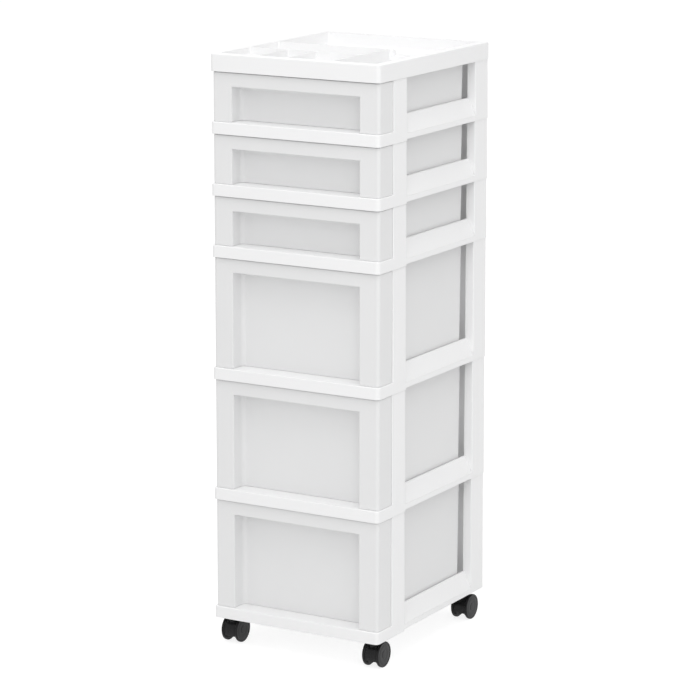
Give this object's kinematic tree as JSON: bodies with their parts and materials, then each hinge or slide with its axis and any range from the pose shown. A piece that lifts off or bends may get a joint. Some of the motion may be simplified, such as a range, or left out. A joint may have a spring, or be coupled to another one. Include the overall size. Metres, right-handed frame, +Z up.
{
  "type": "plastic drawer tower",
  "caption": "Stacking drawer tower with deep and shallow frosted drawers, an open compartment tray on top and swivelling casters underneath.",
  "frame": {"origin": "on the floor under the middle of the tower, where the caster wheels stand", "axes": "+Z up, -Y to the front, where the drawers slide out, +X to the right seen from the front"},
  "size_m": [0.309, 0.3644, 0.9766],
  "materials": {
    "frame_plastic": "white injection-moulded polypropylene with a fine satin skin",
    "drawer_plastic": "frosted, slightly translucent polypropylene",
    "caster_plastic": "black moulded nylon, soft gloss",
    "wheel_plastic": "black moulded nylon with turned rings on the disc face",
    "steel": "zinc-plated steel"
  },
  "bodies": {
    "tower": {"deep_frame_lower": "frame_plastic", "deep_frame_middle": "frame_plastic", "deep_frame_upper": "frame_plastic", "shallow_frame_lower": "frame_plastic", "shallow_frame_middle": "frame_plastic", "shallow_frame_upper": "frame_plastic", "top_organiser": "frame_plastic", "caster_front_left_stem": "steel", "caster_front_right_stem": "steel", "caster_back_left_stem": "steel", "caster_back_right_stem": "steel"},
    "deep_drawer_lower": {"deep_drawer_lower": "drawer_plastic"},
    "deep_drawer_middle": {"deep_drawer_middle": "drawer_plastic"},
    "deep_drawer_upper": {"deep_drawer_upper": "drawer_plastic"},
    "shallow_drawer_lower": {"shallow_drawer_lower": "drawer_plastic"},
    "shallow_drawer_middle": {"shallow_drawer_middle": "drawer_plastic"},
    "shallow_drawer_upper": {"shallow_drawer_upper": "drawer_plastic"},
    "caster_front_left_swivel": {"caster_front_left_hood": "caster_plastic", "caster_front_left_axle": "steel"},
    "caster_front_left_wheel_left": {"caster_front_left_wheel_left": "wheel_plastic"},
    "caster_front_left_wheel_right": {"caster_front_left_wheel_right": "wheel_plastic"},
    "caster_front_right_swivel": {"caster_front_right_hood": "caster_plastic", "caster_front_right_axle": "steel"},
    "caster_front_right_wheel_left": {"caster_front_right_wheel_left": "wheel_plastic"},
    "caster_front_right_wheel_right": {"caster_front_right_wheel_right": "wheel_plastic"},
    "caster_back_left_swivel": {"caster_back_left_hood": "caster_plastic", "caster_back_left_axle": "steel"},
    "caster_back_left_wheel_left": {"caster_back_left_wheel_left": "wheel_plastic"},
    "caster_back_left_wheel_right": {"caster_back_left_wheel_right": "wheel_plastic"},
    "caster_back_right_swivel": {"caster_back_right_hood": "caster_plastic", "caster_back_right_axle": "steel"},
    "caster_back_right_wheel_left": {"caster_back_right_wheel_left": "wheel_plastic"},
    "caster_back_right_wheel_right": {"caster_back_right_wheel_right": "wheel_plastic"}
  },
  "joints": [
    {"name": "deep_drawer_lower_slide", "type": "slide", "parent": "tower", "child": "deep_drawer_lower", "axis": [0, -1, 0], "range_m": [0, 0.22]},
    {"name": "deep_drawer_middle_slide", "type": "slide", "parent": "tower", "child": "deep_drawer_middle", "axis": [0, -1, 0], "range_m": [0, 0.22]},
    {"name": "deep_drawer_upper_slide", "type": "slide", "parent": "tower", "child": "deep_drawer_upper", "axis": [0, -1, 0], "range_m": [0, 0.22]},
    {"name": "shallow_drawer_lower_slide", "type": "slide", "parent": "tower", "child": "shallow_drawer_lower", "axis": [0, -1, 0], "range_m": [0, 0.22]},
    {"name": "shallow_drawer_middle_slide", "type": "slide", "parent": "tower", "child": "shallow_drawer_middle", "axis": [0, -1, 0], "range_m": [0, 0.22]},
    {"name": "shallow_drawer_upper_slide", "type": "slide", "parent": "tower", "child": "shallow_drawer_upper", "axis": [0, -1, 0], "range_m": [0, 0.22]},
    {"name": "caster_front_left_turn", "type": "hinge", "parent": "tower", "child": "caster_front_left_swivel", "pos_m": [-0.1335, -0.15715, 0.045], "axis": [0, 0, 1], "continuous": true},
    {"name": "caster_front_left_wheel_left_spin", "type": "hinge", "parent": "caster_front_left_swivel", "child": "caster_front_left_wheel_left", "pos_m": [-0.1335, -0.14865, 0.02125], "axis": [1, 0, 0], "continuous": true},
    {"name": "caster_front_left_wheel_right_spin", "type": "hinge", "parent": "caster_front_left_swivel", "child": "caster_front_left_wheel_right", "pos_m": [-0.1335, -0.14865, 0.02125], "axis": [1, 0, 0], "continuous": true},
    {"name": "caster_front_right_turn", "type": "hinge", "parent": "tower", "child": "caster_front_right_swivel", "pos_m": [0.1335, -0.15715, 0.045], "axis": [0, 0, 1], "continuous": true},
    {"name": "caster_front_right_wheel_left_spin", "type": "hinge", "parent": "caster_front_right_swivel", "child": "caster_front_right_wheel_left", "pos_m": [0.1335, -0.14865, 0.02125], "axis": [1, 0, 0], "continuous": true},
    {"name": "caster_front_right_wheel_right_spin", "type": "hinge", "parent": "caster_front_right_swivel", "child": "caster_front_right_wheel_right", "pos_m": [0.1335, -0.14865, 0.02125], "axis": [1, 0, 0], "continuous": true},
    {"name": "caster_back_left_turn", "type": "hinge", "parent": "tower", "child": "caster_back_left_swivel", "pos_m": [-0.1335, 0.14585, 0.045], "axis": [0, 0, 1], "continuous": true},
    {"name": "caster_back_left_wheel_left_spin", "type": "hinge", "parent": "caster_back_left_swivel", "child": "caster_back_left_wheel_left", "pos_m": [-0.1335, 0.15435, 0.02125], "axis": [1, 0, 0], "continuous": true},
    {"name": "caster_back_left_wheel_right_spin", "type": "hinge", "parent": "caster_back_left_swivel", "child": "caster_back_left_wheel_right", "pos_m": [-0.1335, 0.15435, 0.02125], "axis": [1, 0, 0], "continuous": true},
    {"name": "caster_back_right_turn", "type": "hinge", "parent": "tower", "child": "caster_back_right_swivel", "pos_m": [0.1335, 0.14585, 0.045], "axis": [0, 0, 1], "continuous": true},
    {"name": "caster_back_right_wheel_left_spin", "type": "hinge", "parent": "caster_back_right_swivel", "child": "caster_back_right_wheel_left", "pos_m": [0.1335, 0.15435, 0.02125], "axis": [1, 0, 0], "continuous": true},
    {"name": "caster_back_right_wheel_right_spin", "type": "hinge", "parent": "caster_back_right_swivel", "child": "caster_back_right_wheel_right", "pos_m": [0.1335, 0.15435, 0.02125], "axis": [1, 0, 0], "continuous": true}
  ]
}
